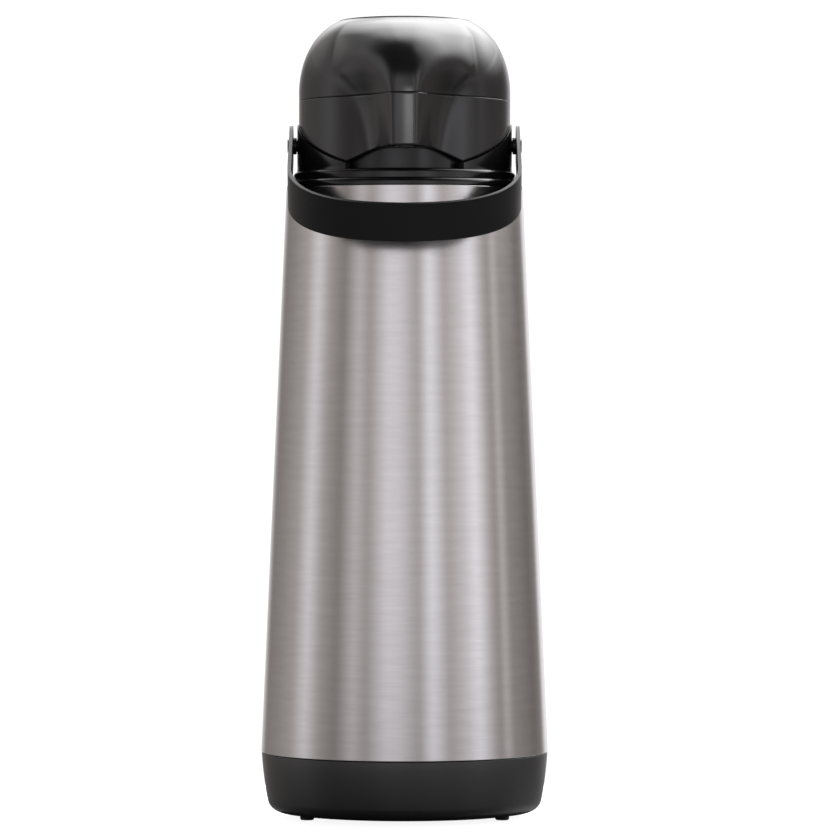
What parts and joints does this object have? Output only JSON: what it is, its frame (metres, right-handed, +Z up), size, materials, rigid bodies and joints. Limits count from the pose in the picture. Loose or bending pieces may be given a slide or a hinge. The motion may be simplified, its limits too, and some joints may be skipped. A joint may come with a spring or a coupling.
{
  "type": "thermal coffee airpot",
  "caption": "Tall insulated pump pot: tapered steel body on a black base, black press-button head with a front spout, and a swing handle.",
  "frame": {"origin": "centre of the base on the surface that the pot stands on", "axes": "+Z up along the pot's axis, -Y towards the spout, +X to the right seen from the front"},
  "size_m": [0.1424, 0.1556, 0.395],
  "materials": {
    "black_plastic": "satin moulded black plastic",
    "gloss_black_plastic": "smooth semi-gloss black plastic",
    "steel_shell": "stainless steel brushed round the body",
    "rubber": "soft black rubber",
    "silvered_glass": "glass silvered on the vacuum side",
    "felt_pad": "pale pad",
    "pin_plastic": "satin black plastic",
    "screw_steel": "bright stainless steel",
    "pump_plastic": "pale food-safe plastic",
    "bellows_plastic": "soft milky plastic",
    "tube_plastic": "milky plastic tube"
  },
  "bodies": {
    "bottle": {"base_cup": "black_plastic", "foot_1": "rubber", "foot_2": "rubber", "foot_3": "rubber", "foot_4": "rubber", "flask_seat": "rubber", "body_shell": "steel_shell", "flask_outer_glass": "silvered_glass", "flask_inner_glass": "silvered_glass", "flask_spacer_pads": "felt_pad", "neck_gasket": "rubber", "collar": "black_plastic"},
    "handle": {"handle_band": "black_plastic", "handle_pin_left": "pin_plastic", "handle_pin_right": "pin_plastic"},
    "head": {"head_lower": "black_plastic", "head_upper": "gloss_black_plastic", "head_screws": "screw_steel", "pump_base": "pump_plastic", "stopper_gasket": "rubber", "bellows_seat": "pump_plastic", "air_valve": "rubber", "bellows": "bellows_plastic", "return_spring": "screw_steel", "spout_tube": "tube_plastic", "spout_nozzle": "pump_plastic", "dip_tube": "tube_plastic", "ball_cage": "pump_plastic"},
    "button": {"button_cap": "gloss_black_plastic", "plunger": "pump_plastic", "plunger_screw": "screw_steel"},
    "tilt_ball": {"tilt_ball": "screw_steel"}
  },
  "joints": [
    {"name": "handle_swing", "type": "hinge", "parent": "bottle", "child": "handle", "pos_m": [0, 0, 0.3321], "axis": [-1, 0, 0], "range_deg": [0, 234]},
    {"name": "head_lift", "type": "slide", "parent": "bottle", "child": "head", "axis": [0, 0, 1], "range_m": [0, 0.3]},
    {"name": "button_press", "type": "slide", "parent": "head", "child": "button", "axis": [0, 0, -1], "range_m": [0, 0.022], "stiffness_N_per_m": 500, "springref_m": -0.008, "deforming": ["bellows", "return_spring"]},
    {"name": "ball_rise", "type": "slide", "parent": "head", "child": "tilt_ball", "axis": [0, 0, 1], "range_m": [0, 0.003]}
  ]
}
